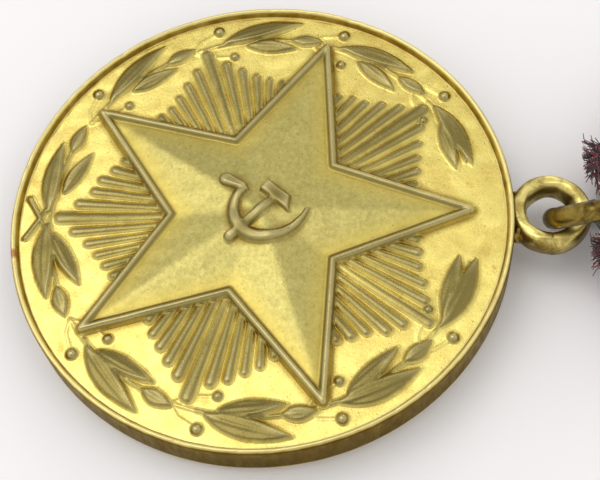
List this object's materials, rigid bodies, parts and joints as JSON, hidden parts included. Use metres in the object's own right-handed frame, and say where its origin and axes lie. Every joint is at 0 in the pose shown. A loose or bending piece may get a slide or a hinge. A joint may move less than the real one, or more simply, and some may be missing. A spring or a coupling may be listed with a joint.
{
  "type": "military service medal",
  "caption": "Round struck brass medal with star, rays and wreath, hung by an eyelet and a jump ring from a pentagonal ribbon block with a brooch pin.",
  "frame": {"origin": "centre of the flat back of the medal's disc", "axes": "+Z out of the struck face, +Y from the disc towards the ribbon block, +X across"},
  "size_m": [0.032, 0.084, 0.0083],
  "materials": {
    "struck_brass": "struck and satin, brown patina in the recesses and on the edge",
    "eyelet_brass": "satin bronze, worn bright on the crown",
    "solder": "dull",
    "ring_wire": "tarnished, worn",
    "plate_metal": "stamped, dull",
    "ribbon_silk": "woven silk, red with yellow and green stripes",
    "pin_steel": "drawn wire",
    "rivet_metal": "dull"
  },
  "bodies": {
    "block": {"front_plate": "plate_metal", "ribbon": "ribbon_silk", "back_plate": "plate_metal", "pin_hinge": "plate_metal", "pin_pintle": "pin_steel", "pin_catch": "plate_metal", "back_rivets": "rivet_metal"},
    "ring": {"jump_ring": "ring_wire"},
    "medal": {"medal_disc": "struck_brass", "suspension_eyelet": "eyelet_brass", "eyelet_solder": "solder"},
    "needle": {"pin_needle": "pin_steel"}
  },
  "joints": [
    {"name": "ring_swing", "type": "hinge", "parent": "block", "child": "ring", "pos_m": [-0.0006, 0.02362, 0.0011], "axis": [0, 0, 1], "range_deg": [-28, 20]},
    {"name": "medal_fold", "type": "hinge", "parent": "ring", "child": "medal", "pos_m": [-0.00012, 0.0214, 0.002], "axis": [-0.8668, -0.1843, 0.4633], "range_deg": [-4, 128]},
    {"name": "pin_open", "type": "hinge", "parent": "block", "child": "needle", "pos_m": [0.0084, 0.05962, -0.00195], "axis": [0, -1, 0], "range_deg": [0, 110]}
  ]
}
